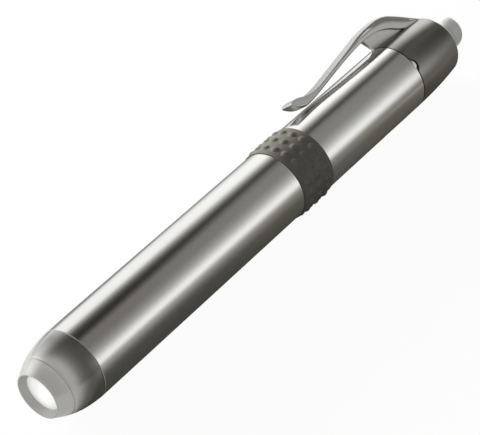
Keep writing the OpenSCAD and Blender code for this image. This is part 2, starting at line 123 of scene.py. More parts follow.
def turned(outline, angles, shape=None):  # turns an outline round the pen, closed at its poles
    if isinstance(angles, int):
        angles = np.linspace(0, fullTurn, angles, endpoint=False)
    startsOnAxis, endsOnAxis = (int(end[1] == 0) for end in (outline[0], outline[-1]))
    inner = np.array(outline[startsOnAxis:len(outline) - endsOnAxis], float)
    u, radius = (np.repeat(inner[:, side, None], len(angles), 1) for side in (0, 1))
    if shape:
        u, radius = shape(u, radius, angles[None, :])
    points = onPen(u, radius, angles[None, :]).reshape(-1, 3).tolist()
    faces = gridFaces(len(inner), len(angles), not (startsOnAxis or endsOnAxis))
    poles = ((startsOnAxis, outline[0], 0), (endsOnAxis, outline[-1], len(inner) - 1))
    for onAxis, end, firstRow in poles:
        if onAxis:
            points.append((end[0], 0, 0))
            row = firstRow * len(angles) + np.arange(len(angles))
            pairs = zip(row.tolist(), np.roll(row, -1).tolist())
            faces += [(a, b, len(points) - 1) for a, b in pairs]
    return points, faces


def addPiece(name, shape, finish, nodes, body=None):
    points, faces = shape
    mesh = bpy.data.meshes.new(name)
    mesh.from_pydata(toWorld(points).tolist(), [], faces)
    work = bmesh.new()
    work.from_mesh(mesh)
    bmesh.ops.recalc_face_normals(work, faces=work.faces)
    work.to_mesh(mesh)
    work.free()
    mesh.polygons.foreach_set("use_smooth", [True] * len(mesh.polygons))
    mesh.set_sharp_from_angle(angle=math.radians(sharpFrom["piece"]))
    mesh.materials.append(finish)
    piece = bpy.data.objects.new(name, mesh)
    bpy.context.scene.collection.objects.link(piece)
    if body:
        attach(piece, body)
    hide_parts(*nodes)
    print("made", name)
    return piece


# Shader helpers
class Wire:  # one socket, with the sums that the finishes use
    def __init__(self, tree, socket):
        self.tree = tree
        self.socket = socket

    def sum(self, operation, other=None, swapped=False):
        pair = (other, self) if swapped else (self, other)
        values = {place: value for place, value in enumerate(pair) if value is not None}
        return addNode(self.tree, "ShaderNodeMath", {"operation": operation}, values)

    def __add__(self, other):
        return self.sum("ADD", other)

    def __sub__(self, other):
        return self.sum("SUBTRACT", other)

    def __rsub__(self, other):
        return self.sum("SUBTRACT", other, True)

    def __mul__(self, other):
        return self.sum("MULTIPLY", other)

    def __truediv__(self, other):
        return self.sum("DIVIDE", other)

    def __rtruediv__(self, other):
        return self.sum("DIVIDE", other, True)

    __radd__ = __add__
    __rmul__ = __mul__


def addNode(tree, kind, settings=None, values=None, output=0):
    node = tree.nodes.new(kind)
    for key, value in (settings or {}).items():
        if key == "stops":
            setStops(node.color_ramp, value)
        else:
            setattr(node, key, value)
    for key, value in (values or {}).items():
        if isinstance(value, Wire):
            tree.links.new(value.socket, node.inputs[key])
        else:
            node.inputs[key].default_value = value
    return Wire(tree, node.outputs[output])


def setStops(colourRamp, stops):
    while len(colourRamp.elements) < len(stops):
        colourRamp.elements.new(0.5)
    for element, (position, colour) in zip(colourRamp.elements, stops):
        element.position = position
        shade = (colour,) * 3 if isinstance(colour, (int, float)) else colour
        element.color = (*shade, 1)


def ramp(value, stops):
    return addNode(value.tree, "ShaderNodeValToRGB", {"stops": stops}, {0: value})


def limited(value):  # kept from 0 to 1
    return addNode(value.tree, "ShaderNodeClamp", None, {0: value})


def softStep(value, low, high):
    settings = {"interpolation_type": "SMOOTHSTEP"}
    return addNode(value.tree, "ShaderNodeMapRange", settings, {0: value, 1: low, 2: high})


def mixColours(share, first, second):
    settings = {"data_type": "RGBA"}
    values = {0: share, 6: (*first, 1) if isinstance(first, tuple) else first,
              7: (*second, 1) if isinstance(second, tuple) else second}
    return addNode(share.tree, "ShaderNodeMix", settings, values, 2)


def vectorSum(operation, vector, values, output=0):
    settings = {"operation": operation}
    return addNode(vector.tree, "ShaderNodeVectorMath", settings, {0: vector, **values}, output)


def scaled(vector, factors):
    return vectorSum("MULTIPLY", vector, {1: factors})


def dimmed(colour, share):
    return vectorSum("SCALE", colour, {3: share})


def along(place, side):  # 0 runs along the pen, 1 across it
    return addNode(place.tree, "ShaderNodeSeparateXYZ", None, {0: place}, side)


def noise(vector, scale, detail=3.0, roughness=0.5):
    values = {"Vector": vector, "Scale": scale, "Detail": detail, "Roughness": roughness}
    return addNode(vector.tree, "ShaderNodeTexNoise", None, values)


def swing(grain, amount):  # noise as a value that swings about 0
    return (grain - 0.5) * amount


def bumped(height, strength, distance):
    values = {"Height": height, "Strength": strength, "Distance": distance}
    return addNode(height.tree, "ShaderNodeBump", None, values)


def newFinish(name, constants):  # a material with its shader, and the place on the piece
    material = bpy.data.materials.new(name)
    material.use_nodes = True
    tree = material.node_tree
    shader = tree.nodes["Principled BSDF"]
    for key, value in constants.items():
        shader.inputs[key].default_value = value
    place = addNode(tree, "ShaderNodeTexCoord", None, None, "Object")
    return material, shader, place


def plug(wire, shader, key):
    wire.tree.links.new(wire.socket, shader.inputs[key])


# Finishes
def fromAxis(place):  # distance of a point from the pen's axis
    centred = vectorSum("SUBTRACT", place, {1: tuple(mouthPoint)})
    return vectorSum("LENGTH", scaled(centred, (0, 1, 1)), {}, "Value")


def patchy(place, look, patches):  # a tone that wanders between the look's dark and light
    cloud = noise(place, patches["scale"], patches["detail"], patches["roughness"])
    contrast = patches["contrast"]
    tint = limited(cloud * contrast - (contrast - 1) / 2)
    return cloud, mixColours(tint, look["dark"], look["light"])


metalGrain = {
    "detail": 3.0, "roughness": 0.6, "depth": 0.00002,
    "patches": {"scale": 90.0, "detail": 4.0, "roughness": 0.55, "contrast": 1.6}}
rubberGrain = {
    "scale": 5200.0, "detail": 3.0, "roughness": 0.6, "rough": 0.16, "cloudRough": 0.1,
    "depth": 0.00003,
    "patches": {"scale": 260.0, "detail": 4.0, "roughness": 0.55, "contrast": 1.7}}
plasticGrain = {
    "scale": 3600.0, "detail": 2.0, "roughness": 0.5, "rough": 0.12, "cloudRough": 0.0,
    "depth": 0.00003,
    "patches": {"scale": 180.0, "detail": 3.0, "roughness": 0.5, "contrast": 1.5}}


def metalFinish(name, look):
    material, shader, place = newFinish(name, {"Metallic": 1.0, **look.get("constants", {})})
    kind = metalGrain
    lines = noise(scaled(place, look["lineScale"]), 1.0, kind["detail"], kind["roughness"])
    cloud, colour = patchy(place, look, kind["patches"])
    if "seamShadeTone" in look:  # the cap's front face painted near black: painted shade for the dark line of the seam
        ends = (mouthPoint[0] + millimetre * u for u in look["seamShadeEnds"])
        colour = mixColours(softStep(along(place, 0), *ends), look["seamShadeTone"], colour)
    plug(colour, shader, "Base Color")
    rough = look["rough"] + swing(lines, look["lineRough"]) + swing(cloud, look["cloudRough"])
    if "mouthRough" in look:  # the turned inside of the mouth is duller
        outside = softStep(fromAxis(place), *look["mouthEdge"])
        rough = rough + (1.0 - outside) * look["mouthRough"]
    plug(rough, shader, "Roughness")
    plug(bumped(lines, look["bump"], kind["depth"]), shader, "Normal")
    return material


def softFinish(name, look, kind):  # rubber or plastic with a fine grain
    material, shader, place = newFinish(name, look.get("constants", {}))
    grain = noise(place, kind["scale"], kind["detail"], kind["roughness"])
    cloud, colour = patchy(place, look, kind["patches"])
    plug(colour, shader, "Base Color")
    rough = look["rough"] + swing(grain, kind["rough"]) + swing(cloud, kind["cloudRough"])
    plug(rough, shader, "Roughness")
    plug(bumped(grain, look["bump"], kind["depth"]), shader, "Normal")
    return material


barrelLook = {
    "dark": (0.77, 0.765, 0.745), "light": (0.82, 0.815, 0.795),
    "lineScale": (30, 5200, 5200), "rough": 0.13, "lineRough": 0.05, "cloudRough": 0.03,
    "bump": 0.02}
noseLook = {
    "dark": (0.62, 0.615, 0.595), "light": (0.68, 0.675, 0.655),
    "lineScale": (5200, 60, 60), "rough": 0.2, "lineRough": 0.05, "cloudRough": 0.05, "bump": 0.02,
    "mouthRough": 0.4, "mouthEdge": (0.00455, 0.00462)}
# the cap's rim tone is painted shade, for the dark line of the seam at its front
capLook = {
    "dark": (0.32, 0.315, 0.295), "light": (0.38, 0.375, 0.355),
    "lineScale": (3800, 60, 60), "rough": 0.25, "lineRough": 0.008, "cloudRough": 0.03,
    "bump": 0.002, "seamShadeTone": (0.02, 0.02, 0.018), "seamShadeEnds": (110.63, 110.68)}
clipLook = {
    "dark": (0.66, 0.655, 0.635), "light": (0.74, 0.735, 0.715),
    "lineScale": (60, 4200, 4200), "rough": 0.38, "lineRough": 0.06, "cloudRough": 0.04,
    "bump": 0.02, "constants": {"Metallic": 0.99}}
keyLook = {
    "dark": (0.91, 0.91, 0.89), "light": (0.95, 0.95, 0.93),
    "lineScale": (4200, 80, 80), "rough": 0.3, "lineRough": 0.05, "cloudRough": 0.04, "bump": 0.02}
brightLook = {
    "dark": (0.86, 0.855, 0.84), "light": (0.92, 0.915, 0.9),
    "lineScale": (4200, 80, 80), "rough": 0.12, "lineRough": 0.05, "cloudRough": 0.04, "bump": 0.02}
brassLook = {
    "dark": (0.66, 0.47, 0.2), "light": (0.8, 0.6, 0.3),
    "lineScale": (5200, 60, 60), "rough": 0.24, "lineRough": 0.1, "cloudRough": 0.12, "bump": 0.05}
springLook = {
    "dark": (0.55, 0.55, 0.53), "light": (0.72, 0.71, 0.68),
    "lineScale": (900, 900, 900), "rough": 0.25, "lineRough": 0.1, "cloudRough": 0.1, "bump": 0.05}
mirrorLook = {
    "dark": (0.9, 0.9, 0.9), "light": (0.95, 0.95, 0.95),
    "lineScale": (900, 200, 200), "rough": 0.04, "lineRough": 0.02, "cloudRough": 0.02, "bump": 0.0}
retainerLook = {
    "dark": (0.6, 0.6, 0.6), "light": (0.74, 0.74, 0.73),
    "lineScale": (5200, 60, 60), "rough": 0.3, "lineRough": 0.1, "cloudRough": 0.08, "bump": 0.05}
ringLook = {
    "dark": (0.104, 0.098, 0.082), "light": (0.14, 0.132, 0.112), "rough": 0.55, "bump": 0.35}
sealLook = {
    "dark": (0.02, 0.02, 0.02), "light": (0.032, 0.032, 0.032), "rough": 0.5, "bump": 0.3}
switchLook = {
    "dark": (0.045, 0.045, 0.048), "light": (0.07, 0.07, 0.074), "rough": 0.5, "bump": 0.3}
rodLook = {
    "dark": (0.72, 0.71, 0.66), "light": (0.82, 0.81, 0.77), "rough": 0.4, "bump": 0.2}
buttonLook = {
    "dark": (0.66, 0.655, 0.635), "light": (0.73, 0.725, 0.705), "rough": 0.3, "bump": 0.25,
    "constants": {"Subsurface Weight": 0.35, "Subsurface Scale": 0.004,
                  "Subsurface Radius": (1.0, 1.0, 1.0)}}
cellLook = {
    "sleeve": (0.12, 0.2, 0.36), "band": (0.5, 0.52, 0.55), "bandAt": 0.2, "bandWide": 0.08,
    "bandEdge": 0.01, "length": 0.0445, "wholeLengths": 10.0, "wrinkles": (200, 2600, 2600),
    "rough": 0.3, "wrinkleRough": 0.12, "bump": 0.08, "depth": 0.00002,
    "constants": {"Metallic": 0.35}}
boardLook = {
    "mask": (0.03, 0.16, 0.07), "track": (0.05, 0.27, 0.12), "trackScale": 700.0,
    "trackEdge": (0.06, 0.09), "rough": 0.35, "grainScale": 3000.0, "grainRough": 0.1, "bump": 0.2,
    "depth": 0.00002}
lampLook = {
    "dome": (0.97, 0.96, 0.88), "glow": (1.0, 0.99, 0.94), "warm": (1.0, 0.97, 0.9),
    "cloudScale": 700.0, "cloudDetail": 2.0,
    "constants": {"Roughness": 0.1, "Emission Strength": 1.2}}
# the lens's emission is a painted glow, in place of the lamp's light shining through it
lensLook = {
    "glass": (0.93, 0.94, 0.93), "middle": (1.0, 1.0, 0.99), "edge": (0.7, 0.7, 0.68),
    "radius": 0.0037, "rimFrom": (0.55, 1.05), "rimSwing": 0.25, "rough": 0.12, "cloudRough": 0.06,
    "cloudScale": 420.0, "cloudDetail": 2.0,
    "constants": {"Transmission Weight": 0.2, "IOR": 1.49, "Emission Strength": 0.28}}


def cellFinish(name, look):  # foil sleeve in one colour with a pale band
    material, shader, place = newFinish(name, look["constants"])
    share = (along(place, 0) / look["length"] + look["wholeLengths"]).sum("FRACT")
    wrinkle = noise(scaled(place, look["wrinkles"]), 1.0)
    start, edge = look["bandAt"], look["bandEdge"]
    end = start + look["bandWide"]
    band = ramp(share, (
        (0.0, 0.0), (start, 0.0), (start + edge, 1.0), (end, 1.0), (end + edge, 0.0)))
    plug(mixColours(band, look["sleeve"], look["band"]), shader, "Base Color")
    plug(look["rough"] + swing(wrinkle, look["wrinkleRough"]), shader, "Roughness")
    plug(bumped(wrinkle, look["bump"], look["depth"]), shader, "Normal")
    return material


def boardFinish(name, look):  # green board with tracks round the lamp
    material, shader, place = newFinish(name, {})
    tracks = addNode(place.tree, "ShaderNodeTexVoronoi", {"feature": "DISTANCE_TO_EDGE"},
                     {"Vector": place, "Scale": look["trackScale"]})
    mask = softStep(tracks, *look["trackEdge"])
    plug(mixColours(mask, look["track"], look["mask"]), shader, "Base Color")
    plug(look["rough"] + noise(place, look["grainScale"]) * look["grainRough"], shader, "Roughness")
    plug(bumped(mask, look["bump"], look["depth"]), shader, "Normal")
    return material


def lampFinish(name, look):  # clear dome of the lamp, lit from inside
    material, shader, place = newFinish(name, look["constants"])
    cloud = noise(place, look["cloudScale"], look["cloudDetail"])
    plug(mixColours(cloud, look["dome"], look["glow"]), shader, "Base Color")
    plug(mixColours(cloud, look["glow"], look["warm"]), shader, "Emission Color")
    return material


def lensFinish(name, look):  # front glass with a painted glow of its own, white in the middle and greyer at its edge, in place of the lamp's light behind it
    material, shader, place = newFinish(name, look["constants"])
    cloud = noise(place, look["cloudScale"], look["cloudDetail"])
    out = fromAxis(place) / look["radius"] + swing(cloud, look["rimSwing"])
    rim = softStep(out, *look["rimFrom"])
    plug(mixColours(rim, look["middle"], look["edge"]), shader, "Emission Color")
    plug(mixColours(rim, look["middle"], look["glass"]), shader, "Base Color")
    plug(look["rough"] + cloud * look["cloudRough"], shader, "Roughness")
    return material


finishes = {
    "nose_metal": metalFinish("satinNose", noseLook),
    "barrel_metal": metalFinish("polishedBarrel", barrelLook),
    "cap_metal": metalFinish("darkPlatedCap", capLook),
    "clip_metal": metalFinish("satinClip", clipLook),
    "bright_metal": metalFinish("brightPlating", brightLook),
    "key_metal": metalFinish("paleKey", keyLook),
    "grip_rubber": softFinish("gripRubber", ringLook, rubberGrain),
    "button_plastic": softFinish("frostedButton", buttonLook, plasticGrain),
    "lens_clear": lensFinish("glowPaintedLens", lensLook),
    "reflector_mirror": metalFinish("reflectorMirror", mirrorLook),
    "lamp_dome": lampFinish("lampDome", lampLook),
    "board_laminate": boardFinish("lampBoard", boardLook),
    "contact_brass": metalFinish("turnedBrass", brassLook),
    "spring_steel": metalFinish("springWire", springLook),
    "seal_rubber": softFinish("sealRubber", sealLook, rubberGrain),
    "cell_sleeve": cellFinish("cellSleeve", cellLook),
    "switch_plastic": softFinish("switchPlastic", switchLook, plasticGrain),
    "retainer_metal": metalFinish("turnedRetainer", retainerLook),
    "rod_plastic": softFinish("rodPlastic", rodLook, plasticGrain),
}
for row in frame["record"]["subparts"]:
    kept = frame["nodes"][row["node"]]
    kept.data.materials.clear()
    kept.data.materials.append(finishes[row["material_slot"]])
    kept.data.polygons.foreach_set("use_smooth", [True] * len(kept.data.polygons))
    kept.data.set_sharp_from_angle(angle=math.radians(sharpFrom["kept"]))
print("finishes made")


def addTurned(name, shape, slot, nodes, body):  # a piece whose slot also gives its finish
    return addPiece(name, shape, finishes[slot], nodes, body)


# Nose with its rim, fine groove and conical mouth
noseShape = {
    "length": 9.4, "rim": 4.7, "rimWide": 0.03, "mouth": 4.5, "window": 3.7, "barrel": 7.5,
    "swell": (2.7, 1.12), "cone": 0.24, "seam": 0.07, "lensAt": 1.4, "grooveAt": 3.0,
    "grooveDepth": 0.03, "grooveHalf": 0.2, "grooveSteep": 4, "grooveReach": 0.3, "grooveSteps": 41,
    "spigot": 6.35, "spigotEnd": 14.4, "seat": 4.7, "round": 0.05, "rimRound": 0.08,
    "sideStart": 0.22, "sideShort": 0.15, "sideSteps": 90, "columns": 288}


def noseRadius(u):
    s = noseShape
    bulge, power = s["swell"]
    share = min(1.0, u / s["length"])
    share = (1 - s["cone"]) * (1 - (1 - share) ** bulge) ** power + s["cone"] * share
    dip = s["grooveDepth"] * math.exp(-((u - s["grooveAt"]) / s["grooveHalf"]) ** s["grooveSteep"])
    return s["rim"] + (s["barrel"] - s["rim"]) * share - dip


def makeNose():
    s = noseShape
    end = s["length"] - s["seam"]
    at, reach = s["grooveAt"], s["grooveReach"]
    stations = sorted([*np.linspace(s["sideStart"], end - s["sideShort"], s["sideSteps"]),
                       *np.linspace(at - reach, at + reach, s["grooveSteps"])])
    corners = [(s["lensAt"], s["window"], s["round"]), (0, s["mouth"], s["round"]),
               (0, s["rim"] + s["rimWide"], s["rimRound"])]
    corners += [(u, noseRadius(u)) for u in stations]
    corners += [(end, noseRadius(end), s["round"]), (end, s["spigot"]),
                (s["spigotEnd"], s["spigot"]), (s["spigotEnd"], s["seat"]),
                (s["lensAt"], s["seat"])]
    return turned(rounded(corners), s["columns"])


addTurned("nose_shell", makeNose(), "nose_metal", ["nose"], "front")

# Front glass, a shallow dome held behind the mouth
lensShape = {
    "front": 1.05, "edge": 1.4, "back": 2.6, "window": 3.68, "flange": 4.68, "flatness": 1.3,
    "domeEnd": quarterTurn - 0.05, "domeSteps": 20, "columns": 128}


def makeLens():
    s = lensShape
    dome = [(s["edge"] - (s["edge"] - s["front"]) * math.cos(t) ** s["flatness"],
             s["window"] * math.sin(t)) for t in np.linspace(0, s["domeEnd"], s["domeSteps"])]
    corners = [(s["front"], 0), *dome[1:], (s["edge"], s["window"]), (s["edge"], s["flange"]),
               (s["back"], s["flange"]), (s["back"], 0)]
    return turned(corners, s["columns"])


addTurned("front_lens", makeLens(), "lens_clear", ["lens"], "front")

# Front tube, polished outside, bored for the cells and the joint
tubeShape = {
    "outer": 7.5, "bore": 5.6, "round": 0.1, "sealRound": 0.06, "frontStart": 9.45,
    "frontEnd": 68.62, "noseBore": 6.37, "noseBoreEnd": 14.4, "threadBore": 6.35,
    "threadBoreStart": 62.5, "sealBore": 6.93, "sealBoreStart": 67.58, "columns": 288}


def makeFrontTube():
    s = tubeShape
    corners = [
        (s["frontStart"], s["noseBore"]), (s["frontStart"], s["outer"], s["round"]),
        (s["frontEnd"], s["outer"], s["round"]), (s["frontEnd"], s["sealBore"], s["sealRound"]),
        (s["sealBoreStart"], s["sealBore"]), (s["sealBoreStart"], s["threadBore"]),
        (s["threadBoreStart"], s["threadBore"]), (s["threadBoreStart"], s["bore"]),
        (s["noseBoreEnd"], s["bore"]), (s["noseBoreEnd"], s["noseBore"])]
    return turned(rounded(corners), s["columns"])


addTurned("front_tube", makeFrontTube(), "barrel_metal", ["front_barrel"], "front")

# Rear tube with the joint's thread, the ring's seat and the cap's spigot
rearShape = {
    "threadStart": 62.7, "threadEnd": 68.7, "thread": 6.3, "pitch": 1.5, "threadDepth": 0.34,
    "threadStep": 0.06, "threadRise": (0.1, 0.5), "threadFall": (0.5, 0.6), "chamfer": 0.25,
    "seat": 6.7, "seatEnd": 78.1, "end": 110.5, "seam": 0.09, "seamRound": 0.04, "spigot": 6.55,
    "spigotEnd": 115.1, "grooveStart": 111.9, "grooveEnd": 112.7, "groove": 6.2}


def threadedRear(u, radius, angle):
    s = rearShape
    onThread = (u < s["threadEnd"] - 2 * slack) & (abs(radius - s["thread"]) < slack)
    lead = 0.5 - 0.5 * np.cos(fullTurn * u / s["pitch"] - angle)
    (riseAt, rise), (fallAt, fall) = s["threadRise"], s["threadFall"]
    fade = np.clip((s["threadEnd"] - fallAt - u) / fall, 0, 1)
    fade = fade * np.clip((u - s["threadStart"] - riseAt) / rise, 0, 1)
    return u, radius - onThread * s["threadDepth"] * lead * fade


def makeRearTube():
    s, t = rearShape, tubeShape
    start, chamfer, shoulder = s["threadStart"], s["chamfer"], s["end"] - s["seam"]
    corners = [(start, t["bore"]), (start, s["thread"] - chamfer)]
    stations = np.arange(start + chamfer, s["threadEnd"], s["threadStep"])
    corners += [(u, s["thread"]) for u in stations]
    corners += [
        (s["threadEnd"], s["thread"]), (s["threadEnd"], s["seat"]), (s["seatEnd"], s["seat"]),
        (s["seatEnd"], t["outer"], t["round"]), (shoulder, t["outer"], s["seamRound"]),
        (shoulder, s["spigot"]), (s["grooveStart"], s["spigot"]), (s["grooveStart"], s["groove"]),
        (s["grooveEnd"], s["groove"]), (s["grooveEnd"], s["spigot"]), (s["spigotEnd"], s["spigot"]),
        (s["spigotEnd"], t["bore"])]
    return turned(rounded(corners), t["columns"], threadedRear)


addTurned("rear_tube", makeRearTube(), "barrel_metal", ["rear_barrel"], "tail")

# Rubber ring with three rows of round bumps
ringShape = {
    "start": 68.7, "end": 78.1, "hole": 6.72, "outer": 7.7, "round": 0.16, "around": 20, "rows": 3,
    "pitch": 2.8, "bumpWidth": 1.7, "bumpHeight": 0.36, "blend": 0.07, "edge": 0.3, "steps": 100,
    "hold": 0.04, "columns": 560}


def bumpyRing(u, radius, angle):
    s = ringShape
    half, high = s["bumpWidth"] / 2, s["bumpHeight"]
    ball = (half ** 2 + high ** 2) / (2 * high)
    step = fullTurn / s["around"]
    aside = (np.mod(angle + step / 2, step) - step / 2) * s["outer"]
    middle = (s["start"] + s["end"]) / 2
    nearest = np.clip(np.round((u - middle) / s["pitch"]), -(s["rows"] // 2), s["rows"] // 2)
    ahead = u - middle - nearest * s["pitch"]
    away = aside ** 2 + ahead ** 2
    dome = np.sqrt(np.maximum(ball ** 2 - away, 0)) - (ball - high)
    soft = s["blend"]
    lift = np.where(abs(dome) < soft, (dome + soft) ** 2 / (4 * soft), np.maximum(dome, 0))
    return u, radius + np.where(radius > s["outer"] - slack, lift, 0)


def makeRing():
    s = ringShape
    stations = np.linspace(s["start"] + s["edge"], s["end"] - s["edge"], s["steps"])
    corners = [(s["start"], s["hole"]), (s["start"], s["outer"], s["round"]),
               *((u, s["outer"]) for u in stations),
               (s["end"], s["outer"], s["round"]), (s["end"], s["hole"])]
    return turned(rounded(corners, hold=s["hold"]), s["columns"], bumpyRing)


addTurned("grip_sleeve", makeRing(), "grip_rubber", ["grip_ring"], "tail")

# Dark cap, notched at its front edge and rounded at its rear
capShape = {
    "start": 110.5, "length": 14.7, "front": 7.5, "rear": 6.6, "swell": 2.2, "rearRound": 1.0,
    "bore": 6.57, "boreEnd": 115.3, "switchBore": 6.0, "wallAt": 122.4, "buttonBore": 3.7,
    "collarBore": 4.59, "collarAt": 124.4, "collarRound": 0.08, "round": 0.05, "seam": 0.1,
    "notchAngle": math.radians(83), "notchRadius": 1.625, "notchDepth": 1.0, "notchFade": 2.6,
    "notchFull": 0.3, "notchSide": 15, "notchStep": 0.35, "edge": 0.35, "sideSteps": 50,
    "cornerSteps": 14, "columns": 240}


def capRadius(u):
    s = capShape
    share = (u - s["start"]) / s["length"]
    return s["rear"] + (s["front"] - s["rear"]) * (1 - share ** s["swell"])


def notched(u, radius, angle):
    s = capShape
    aside = radius * np.sin(angle - s["notchAngle"])
    facing = np.cos(angle - s["notchAngle"]) > 0
    inset = s["notchRadius"] - s["notchDepth"]
    lift = np.sqrt(np.maximum(s["notchRadius"] ** 2 - aside ** 2, 0)) - inset
    fade = np.clip((s["start"] + s["notchFade"] - u) / (s["notchFade"] - s["notchFull"]), 0, 1)
    return u + np.where(facing, np.maximum(lift, 0), 0) * fade, radius


def makeCap():
    s = capShape
    front, end = s["start"] + s["seam"], s["start"] + s["length"]
    straight = end - s["rearRound"]
    stations = np.linspace(s["start"] + s["edge"], straight, s["sideSteps"])
    corner = [(straight + s["rearRound"] * math.sin(a),
               capRadius(straight) - s["rearRound"] * (1 - math.cos(a)))
              for a in np.linspace(0, quarterTurn, s["cornerSteps"])[1:]]
    corners = [
        (front, s["bore"]), (front, s["front"], s["round"]), *((u, capRadius(u)) for u in stations),
        *corner, (end, s["collarBore"], s["collarRound"]), (s["collarAt"], s["collarBore"]),
        (s["collarAt"], s["buttonBore"]), (s["wallAt"], s["buttonBore"]),
        (s["wallAt"], s["switchBore"]), (s["boreEnd"], s["switchBore"]), (s["boreEnd"], s["bore"]),
        (s["start"] + s["notchFade"], s["bore"])]
    side = s["notchSide"]
    near = s["notchAngle"] + np.radians(np.arange(-side, side, s["notchStep"]))
    wide = np.linspace(0, fullTurn, s["columns"], endpoint=False)
    wide = wide[abs(wide - s["notchAngle"]) > math.radians(side) + slack / 2]
    return turned(rounded(corners), np.sort(np.concatenate((near, wide))), notched)


addTurned("cap_shell", makeCap(), "cap_metal", ["tail_cap"], "tail")

# Bright key in the cap's notch; its crown is given as (size, how far under its top)
keyShape = {
    "radius": 1.475, "base": 110.6, "low": 6.6, "high": 7.24, "middle": 110.9, "tilt": 0.2,
    "steps": 33, "baseSteps": 18,
    "crown": ((1, 0.2), (0.99, 0.1), (0.95, 0.03), (0.88, 0), (0.7, -0.01), (0.35, -0.015))}


def makeKey():
    s, c = keyShape, capShape
    centre = c["start"] + c["notchDepth"] - c["notchRadius"]
    reach = math.acos((s["base"] - centre) / s["radius"])
    arc = [(centre + s["radius"] * math.cos(a), s["radius"] * math.sin(a))
           for a in np.linspace(-reach, reach, s["steps"])]
    base = [(s["base"], w) for w in np.linspace(arc[-1][1], arc[0][1], s["baseSteps"])[1:-1]]
    outline = np.array(arc + base)
    rings = [(1, s["low"], 0)]
    rings += [(size, s["high"] - under, s["tilt"]) for size, under in s["crown"]]
    points = []
    for size, radius, tilt in rings:
        u = s["middle"] + (outline[:, 0] - s["middle"]) * size
        side = outline[:, 1] * size
        angle = c["notchAngle"] + np.arcsin(side / radius)
        points += onPen(u, radius - side * tilt, angle).tolist()
    return points, runFaces(len(rings), len(outline))


addTurned("notch_key", makeKey(), "key_metal", ["locating_key"], "tail")

# Pocket clip: strip and arch in one sweep, seen from the side as (u, r) of both faces, and a fin
clipShape = {
    "rows": (
        (82.60, 10.28, 82.56, 10.18), (82.95, 10.52, 82.72, 9.86), (83.70, 10.62, 83.25, 9.34),
        (85.00, 10.48, 84.30, 8.56), (86.90, 9.80, 85.90, 8.02), (88.60, 9.52, 88.00, 8.07),
        (90.60, 9.46, 90.30, 8.32), (93.60, 9.78, 93.50, 8.78), (99.70, 10.76, 99.70, 9.72),
        (103.90, 11.46, 104.00, 10.27), (108.30, 12.24, 108.30, 10.60),
        (112.20, 12.46, 111.60, 10.36), (115.20, 12.28, 114.20, 9.70),
        (117.40, 11.54, 116.20, 8.75), (119.30, 10.42, 118.00, 7.60), (121.70, 8.80, 120.50, 6.60),
        (124.30, 6.95, 123.60, 6.30)),
    "steps": 12, "turnSteps": 7, "half": 1.7, "tipRound": 0.4, "tipStart": 0.04,
    "stripRound": 0.16, "underRound": 0.5, "underWidth": 1.25,
    # a rounding takes at most these shares of the depth, of what is left of it, or of the half
    # width
    "mostDepth": 0.45, "mostRest": 0.6, "mostHalf": 0.4,
    # the edges get sharper towards the tip, from this share over this length
    "tipSharp": 0.15, "tipLength": 4,
    "archFrom": 96.0, "archTo": 112.0, "archTop": 1.6, "archRound": 0.72, "archTurn": 0.88,
    "archWide": 1.95, "bulge": ((0.84, 0.42), (1.0, 0.56), (0.8, 0.74)), "archFoot": 1.7,
    "footWide": 0.6, "footFrom": 0.93, "crown": 0.05,
    "topShares": (0, 0.4, 0.8), "sideShares": (0.15, 0.5, 0.85), "underShares": (0.7, 0.35, 0),
    "bend": ((108.6, 0, 12), (99.0, 0, 11))}
finShape = {
    "front": ((108.62, 10.7), (110.1, 7.6)), "low": 6.75, "foot": 0.35, "top": 0.6, "length": 11.0,
    "levels": 14, "stations": 34, "wider": 0.1, "shift": 0.35, "into": 0.3}


def clipCurve():  # both faces' points, smoothly between the rows
    s = clipShape
    rows = np.array(s["rows"])
    rows = np.vstack((2 * rows[0] - rows[1], rows, 2 * rows[-1] - rows[-2]))
    stations = []
    for i in range(1, len(rows) - 2):
        a, b, c, d = rows[i - 1:i + 3]
        for t in np.linspace(0, 1, s["steps"], endpoint=False):
            stations.append(0.5 * (2 * b + (c - a) * t + (2 * a - 5 * b + 4 * c - d) * t ** 2
                                   + (3 * b - a - 3 * c + d) * t ** 3))
    stations.append(rows[-2])
    return np.array(stations)


def stripSide(half, depth, full):  # half of the strip's section: (width, depth) from the outer face
    s = clipShape
    most = half * s["mostHalf"]
    edge = min(s["stripRound"], depth * s["mostDepth"], most) * full
    low = min(s["underRound"], (depth - edge) * s["mostRest"], most) * full
    wide = low * s["underWidth"]
    turn = np.linspace(0, quarterTurn, s["turnSteps"])
    side = [(share * (half - edge), 0) for share in s["topShares"]]
    side += [(half - edge + edge * math.sin(a), edge * (1 - math.cos(a))) for a in turn]
    side += [(half, edge + (depth - edge - low) * share) for share in s["sideShares"]]
    side += [(half - wide * (1 - math.cos(a)), depth - low * (1 - math.sin(a))) for a in turn]
    return side + [(share * (half - wide), depth) for share in s["underShares"]]


def archSide(depth):  # the arch's section leans outwards above and draws in below
    s = clipShape
    edge, top, wide, foot = s["archRound"], s["archTop"], s["archWide"], s["archFoot"]
    turn = np.linspace(0, quarterTurn, s["turnSteps"])
    side = [(share * (top - edge), s["crown"] * (share - 1)) for share in s["topShares"]]
    side += [(top - edge + edge * math.sin(a), edge * (1 - math.cos(a)))
             for a in turn * s["archTurn"]]
    side += [(top + (wide - top) * rise, depth * share) for rise, share in s["bulge"]]
    side += [(foot + (wide - foot) * s["footWide"] * math.cos(a),
              depth * (s["footFrom"] + (1 - s["footFrom"]) * math.sin(a))) for a in turn]
    return side + [(share * foot, depth) for share in s["underShares"]]


